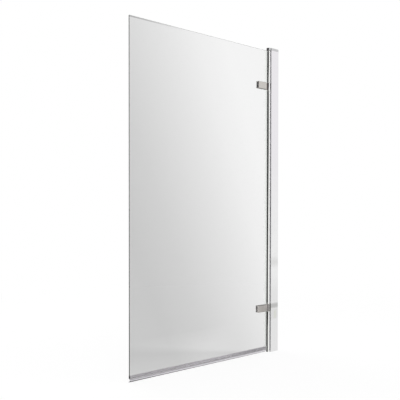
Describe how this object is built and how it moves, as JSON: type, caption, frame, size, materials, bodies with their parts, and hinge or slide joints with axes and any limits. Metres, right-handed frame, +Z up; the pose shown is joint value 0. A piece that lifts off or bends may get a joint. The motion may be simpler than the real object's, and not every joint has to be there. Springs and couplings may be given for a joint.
{
  "type": "bath screen",
  "caption": "Frameless pivoting bath screen: clear glass panel on clamp hinges, a round-nosed post that telescopes in a wall channel, end cap, bulb seal and blade seal.",
  "frame": {"origin": "wall face of the channel, middle of its depth, at its foot on the bath rim", "axes": "+Z up, +X into the wall, so the panel reaches to -X; -Y is the bathroom side, +Y the bath"},
  "size_m": [0.8, 0.0307, 1.4],
  "materials": {
    "polished_profile": "bright polished and anodised",
    "plated_cap": "bright plated moulding",
    "satin_nickel": "satin nickel plating on a casting",
    "stainless": "bright stainless fastener",
    "nylon": "natural nylon",
    "gasket_rubber": "matte black sheet",
    "clear_glass": "clear toughened glass with polished edges",
    "clear_vinyl": "clear flexible extrusion"
  },
  "bodies": {
    "wall_side": {"wall_channel": "polished_profile", "top_cap": "plated_cap"},
    "post": {"hinge_post": "polished_profile", "adjust_screws": "stainless", "top_bushes": "nylon", "bottom_bushes": "nylon", "pivot_pins": "stainless"},
    "screen": {"glass_panel": "clear_glass", "upper_leaf": "satin_nickel", "lower_leaf": "satin_nickel", "upper_back_plate": "satin_nickel", "lower_back_plate": "satin_nickel", "upper_front_gasket": "gasket_rubber", "upper_back_gasket": "gasket_rubber", "lower_front_gasket": "gasket_rubber", "lower_back_gasket": "gasket_rubber", "clamp_screws": "stainless", "side_seal_top": "clear_vinyl", "side_seal_middle": "clear_vinyl", "side_seal_bottom": "clear_vinyl", "bottom_seal": "clear_vinyl"}
  },
  "joints": [
    {"name": "width_adjust", "type": "slide", "parent": "wall_side", "child": "post", "axis": [-1, 0, 0], "range_m": [0, 0.01]},
    {"name": "screen_swing", "type": "hinge", "parent": "post", "child": "screen", "pos_m": [-0.0515, 0, 0.714], "axis": [0, 0, 1], "range_deg": [-90, 90]}
  ]
}
